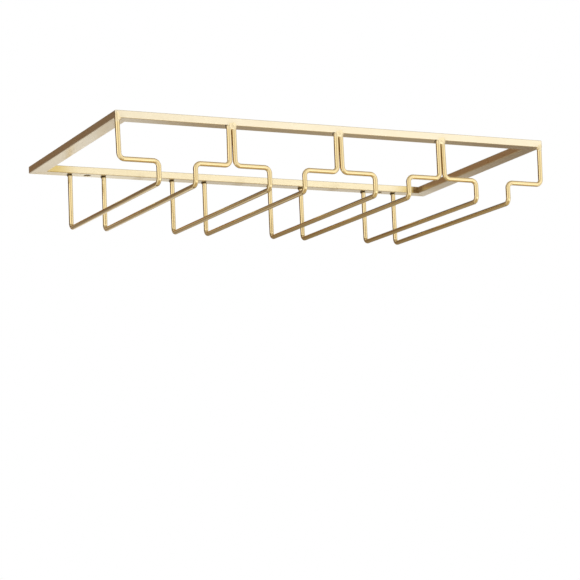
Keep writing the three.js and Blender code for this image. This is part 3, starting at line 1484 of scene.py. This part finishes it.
@dataclass
class ReflectorCard:
    """A card that shows only in reflections, as dark cards do beside polished metal.

    It spans the space between two lines of points, one colour runs into another from its first
    line to its second, and it fades out at its borders.
    """

    name: str
    lines: Array
    first_colour: Triple
    second_colour: Triple
    side_fade: float = 0.2
    end_fade: float = 0.18
    middle: float = 0.5

    def build(self) -> None:
        """Hangs the card."""
        columns = self.lines.shape[1]
        skin = Skin()
        low, high = skin.add_points(self.lines)
        skin.add_faces(np.stack([low[:-1], low[1:], high[1:], high[:-1]], 1))
        card = skin.build(self.name)
        layer = card.data.uv_layers.new(name="card")
        for loop in card.data.loops:
            row, column = divmod(loop.vertex_index, columns)
            layer.data[loop.index].uv = (column / (columns - 1), row)
        card.data.materials.append(self._material())
        for kind in ("camera", "diffuse", "transmission", "volume_scatter", "shadow"):
            setattr(card, f"visible_{kind}", False)

    def _material(self) -> bpy.types.Material:
        """Makes the card's paint.

        Returns:
            The material.
        """
        material = bpy.data.materials.new(self.name)
        graph = Graph(material)
        sheet = graph.add("ShaderNodeUVMap", {"uv_map": "card"})
        across, up = graph.axis(sheet, "X"), graph.axis(sheet, "Y")
        colour = graph.blend(up, self.first_colour, self.second_colour)
        sides = abs(across - self.middle).fade(self.middle - self.side_fade, self.middle)
        ends = abs(up - self.middle).fade(self.middle - self.end_fade, self.middle)
        paint = graph.add("ShaderNodeEmission", {}, {"Color": colour, "Strength": 1.0})
        clear = graph.add("ShaderNodeBsdfTransparent")
        mixed = graph.add("ShaderNodeMixShader", {}, {0: sides * ends, 1: clear, 2: paint})
        graph.add("ShaderNodeOutputMaterial", {}, {"Surface": mixed})
        return material


@dataclass
class Studio:
    """The floor, the white surroundings, the lamps and the reflector cards round the rack."""

    floor_drop: float = 2.2
    floor_reach: float = 9.0
    floor_steps: int = 64
    floor_colour: Triple = (0.86, 0.86, 0.855)
    floor_roughness: float = 0.9
    white_from: float = 1.2
    white_at: float = 3.2
    fill_level: float = 0.62

    def build(self) -> None:
        """Sets up the studio."""
        bpy.context.scene.view_settings.view_transform = "Standard"
        self._world()
        self._floor()
        lamps = [
            SoftLamp("key lamp", 147.0, 20.0, 2.6, 1.7, 2.75),
            SoftLamp("bounce lamp", 154.0, -30.0, 1.4, 0.9, 2.2),
            SoftLamp("side lamp", 264.0, 16.0, 2.8, 1.3, 2.4),
            SoftLamp("top lamp", 180.0, 82.0, 2.4, 1.4, 1.2),
        ]
        cards = self._cards()
        for piece in (*lamps, *cards):
            piece.build()
        log.info("studio: %d lamps, %d cards", len(lamps), len(cards))

    @staticmethod
    def _cards() -> list[ReflectorCard]:
        """The cards, each named for its place or its job.

        Returns:
            The cards.
        """
        brown, slate = (0.285, 0.137, 0.03), (0.12, 0.145, 0.17)
        low, dusk, amber = (0.46, 0.39, 0.33), (0.13, 0.11, 0.105), (0.62, 0.51, 0.34)
        shade, front = (0.58, 0.54, 0.48), (0.87, 0.84, 0.79)
        bright, pearl, soil = (1.6, 1.58, 1.52), (0.80, 0.80, 0.82), (0.16, 0.10, 0.045)
        stone, olive, ink = (0.55, 0.48, 0.38), (0.215, 0.155, 0.085), (0.045, 0.045, 0.03)
        sand, rust, umber = (0.57, 0.485, 0.38), (0.30, 0.14, 0.04), (0.19, 0.13, 0.07)
        back = upright(plan_arc(1.7, -110, 66), -0.12, 1.3)
        low_left = upright(plan_arc(1.5, -85, 14), -0.82, 0.22)
        near = upright(plan_line(-0.16, 0.75, 0.2), -0.42, 0.01)
        behind = upright(plan_line(-0.3, -0.06, 0.35), -0.08, 0.04)
        corner = upright(plan_line(0.27, 0.7, 0.18), -0.42, -0.055)
        beside = upright(plan_line(-0.27, -0.02, 0.55), 0.08, 0.23)
        before = upright(plan_arc(1.6, 170, 242), -0.2, 0.9)
        front_left = upright(plan_arc(1.58, 232, 272), -0.2, 0.9)
        right = upright(plan_arc(1.6, 28, 122), -0.1, 0.9)
        left = upright(plan_arc(1.54, -90, -46), -0.1, 1.0)
        return [
            ReflectorCard("back card", back, brown, slate, 0.11, 0.12),
            ReflectorCard("low left card", low_left, low, dusk, end_fade=0.12),
            ReflectorCard("near card", near, stone, olive, end_fade=0.23),
            ReflectorCard("behind card", behind, sand, sand, end_fade=0.3),
            ReflectorCard("corner card", corner, umber, umber, end_fade=0.08),
            ReflectorCard("beside card", beside, rust, rust),
            ReflectorCard("front card", before, front, front, 0.1),
            ReflectorCard("bright card", front_left, bright, bright, 0.12),
            ReflectorCard("right card", right, pearl, pearl, 0.1),
            ReflectorCard("dark card", left, ink, ink, 0.12),
            ReflectorCard("low rear card", lying(-0.8, 0.6, 0.2, 0.85, -0.59), soil, soil, 0.3),
            ReflectorCard("overhead card", lying(-1.5, 1.5, -1.0, 1.1, 1.1), shade, shade),
            ReflectorCard("low card", lying(-0.8, 0.8, -0.9, 0.3, -0.6), amber, amber),
        ]

    def _world(self) -> None:
        """Makes the surroundings: white where they are seen, a plain fill where they only light."""
        world = bpy.data.worlds.new("studio")
        bpy.context.scene.world = world
        graph = Graph(world)
        kinds = ("Is Camera Ray", "Is Glossy Ray", "Is Transmission Ray")
        camera, glossy, through = (graph.add("ShaderNodeLightPath", output=kind) for kind in kinds)
        level = self.fill_level + (1 - self.fill_level) * camera.larger(glossy).larger(through)
        light = graph.add("ShaderNodeBackground", {}, {"Color": WHITE, "Strength": level})
        graph.add("ShaderNodeOutputWorld", {}, {"Surface": light})

    def _floor(self) -> None:
        """Lays the floor, a pale disc that turns as white as the surroundings far away."""
        angles = np.linspace(0, 2 * math.pi, self.floor_steps, endpoint=False)
        rim = np.full((self.floor_steps, 3), -self.floor_drop)
        rim[:, :2] = polar(self.floor_reach, angles)
        skin = Skin()
        skin.faces.append(skin.add_points(rim).tolist())
        floor = skin.build("floor")
        material = bpy.data.materials.new("pale floor")
        graph = Graph(material)
        flat = graph.stretch(graph.add("ShaderNodeTexCoord", output="Object"), (1.0, 1.0, 0.0))
        away = graph.add("ShaderNodeVectorMath", {"operation": "LENGTH"}, {0: flat}, "Value")
        far = 1 - away.fade(self.white_from, self.white_at)
        paint = {"Base Color": self.floor_colour, "Roughness": self.floor_roughness}
        pale = graph.add("ShaderNodeBsdfPrincipled", {}, paint)
        white = graph.add("ShaderNodeEmission", {}, {"Color": WHITE, "Strength": 1.0})
        mixed = graph.add("ShaderNodeMixShader", {}, {0: far, 1: pale, 2: white})
        graph.add("ShaderNodeOutputMaterial", {}, {"Surface": mixed})
        floor.data.materials.append(material)


def main() -> None:
    """Builds the rack and the studio round it."""
    logging.basicConfig(level=logging.INFO, format="%(name)s: %(message)s")
    sizes = RackSizes()
    PhotoCamera().build()
    TubeFrame(sizes).build()
    wire_gold = WIRE_GOLD.build(sizes)
    for lane in range(sizes.lanes):
        for side in Side:
            RailWire(WirePlan(sizes, lane, side), wire_gold).build()
    Welds(sizes, WELD_GOLD.build(sizes)).build()
    Studio().build()


if __name__ == "__main__":
    main()
